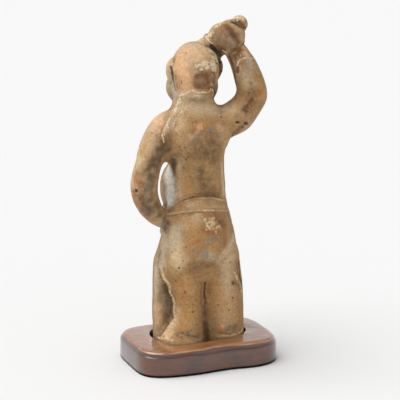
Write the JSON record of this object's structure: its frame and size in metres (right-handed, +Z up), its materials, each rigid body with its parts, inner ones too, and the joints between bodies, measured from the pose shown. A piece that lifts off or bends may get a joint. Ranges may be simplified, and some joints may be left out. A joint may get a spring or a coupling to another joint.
{
  "type": "pottery figure",
  "caption": "Standing fired clay figure with one arm raised and the other hand on its hip, set in the socket of a low rounded wooden stand.",
  "frame": {"origin": "middle of the flat underside of the wooden base", "axes": "+Z up; the figure faces -Y and its left hand is on the +X side"},
  "size_m": [0.1692, 0.1251, 0.3871],
  "materials": {
    "fired_clay": "matt, worn and patched",
    "varnished_wood": "glossy dark varnish"
  },
  "bodies": {
    "root": {"pottery_figure": "fired_clay", "wooden_base": "varnished_wood"}
  },
  "joints": []
}
